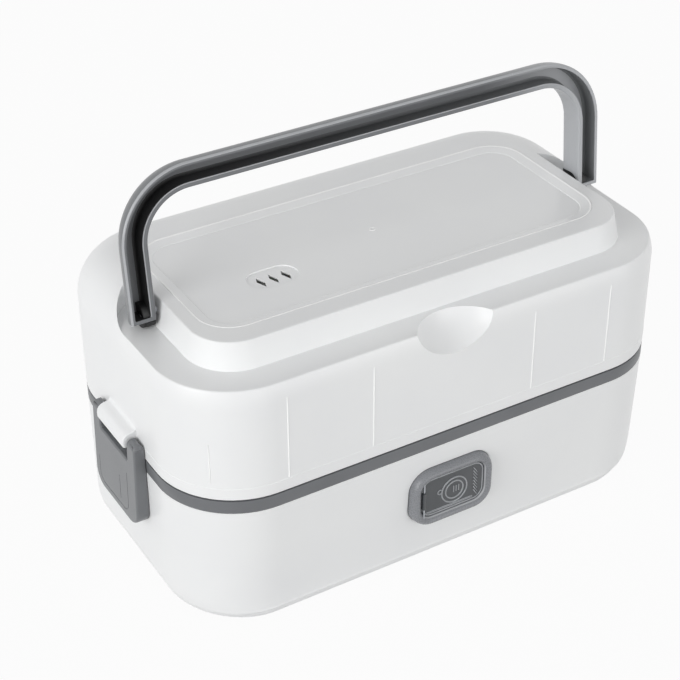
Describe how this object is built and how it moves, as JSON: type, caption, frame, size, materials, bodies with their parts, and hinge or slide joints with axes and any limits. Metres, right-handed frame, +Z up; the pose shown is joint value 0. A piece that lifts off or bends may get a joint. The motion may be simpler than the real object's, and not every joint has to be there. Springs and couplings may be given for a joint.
{
  "type": "electric lunch box",
  "caption": "Rounded-rectangular heated lunch box with a lift-off lid, folding carry handle, end latches, a covered power inlet and a steel food container with a tray.",
  "frame": {"origin": "middle of the box's footprint at the underside of the feet, the bottom centre of its bounding box", "axes": "+X along the box's length to the right as seen from the front, -Y to the front with the power inlet, +Z up"},
  "size_m": [0.2564, 0.1399, 0.1903],
  "materials": {
    "white_shell": "satin white moulded plastic",
    "grey_plastic": "matte mid-grey moulded plastic",
    "black_plastic": "matte black moulded plastic",
    "black_rubber": "soft rubber",
    "panel_gloss": "glossy light grey plastic",
    "smoky_plastic": "smoky translucent plastic",
    "clear_grey_plastic": "food-grade moulded plastic",
    "silicone": "matte silicone rubber",
    "food_steel": "brushed stainless steel",
    "tub_aluminium": "drawn aluminium",
    "screw_steel": "zinc-plated steel",
    "pin_brass": "plated brass",
    "heater_ceramic": "matte ceramic and mica",
    "wire_sleeve": "silicone wire sleeve"
  },
  "bodies": {
    "base": {"base_shell": "white_shell", "bottom_cover": "grey_plastic", "rubber_feet": "black_rubber", "bottom_screws": "screw_steel", "band_ring": "grey_plastic", "heating_tub": "tub_aluminium", "heating_plate": "tub_aluminium", "ptc_heater": "heater_ceramic", "insulation_pad": "heater_ceramic", "heater_clamp": "food_steel", "clamp_screws": "screw_steel", "thermostat": "black_plastic", "thermal_fuse": "heater_ceramic", "heater_leads": "wire_sleeve", "inlet_socket": "black_plastic", "inlet_pins": "pin_brass", "socket_bezel": "grey_plastic", "cover_hinge_pin": "screw_steel"},
    "inlet_cover": {"socket_cover": "smoky_plastic"},
    "container": {"food_container": "food_steel"},
    "inner_lid": {"container_lid": "clear_grey_plastic", "container_seal": "silicone"},
    "plug": {"steam_plug": "silicone"},
    "tray": {"upper_tray": "clear_grey_plastic"},
    "lid": {"upper_shell": "white_shell", "top_panel": "panel_gloss", "steam_baffle": "clear_grey_plastic", "lid_gasket": "silicone", "latch_pin_left": "screw_steel", "latch_pin_right": "screw_steel", "handle_pins": "screw_steel"},
    "handle": {"handle_frame": "grey_plastic", "handle_hubs": "black_plastic"},
    "left_latch": {"latch_left": "grey_plastic"},
    "right_latch": {"latch_right": "grey_plastic"}
  },
  "joints": [
    {"name": "cover_hinge", "type": "hinge", "parent": "base", "child": "inlet_cover", "pos_m": [-0.0153, -0.0703, 0.0368], "axis": [0, 0, -1], "range_deg": [0, 105]},
    {"name": "container_lift", "type": "slide", "parent": "base", "child": "container", "axis": [0, 0, 1], "range_m": [0, 0.055]},
    {"name": "inner_lid_lift", "type": "slide", "parent": "container", "child": "inner_lid", "axis": [0, 0, 1], "range_m": [0, 0.045]},
    {"name": "plug_lift", "type": "slide", "parent": "inner_lid", "child": "plug", "axis": [0, 0, 1], "range_m": [0, 0.003]},
    {"name": "tray_lift", "type": "slide", "parent": "inner_lid", "child": "tray", "axis": [0, 0, 1], "range_m": [0, 0.03]},
    {"name": "lid_lift", "type": "slide", "parent": "tray", "child": "lid", "axis": [0, 0, 1], "range_m": [0, 0.06]},
    {"name": "handle_fold", "type": "hinge", "parent": "lid", "child": "handle", "pos_m": [0.1066, -0.0031, 0.1278], "axis": [1, 0, 0], "range_deg": [0, 95.7]},
    {"name": "left_latch_hinge", "type": "hinge", "parent": "lid", "child": "left_latch", "pos_m": [-0.1249, 0, 0.0745], "axis": [0, 1, 0], "range_deg": [0, 110]},
    {"name": "right_latch_hinge", "type": "hinge", "parent": "lid", "child": "right_latch", "pos_m": [0.1249, 0, 0.0745], "axis": [0, -1, 0], "range_deg": [0, 110]}
  ]
}
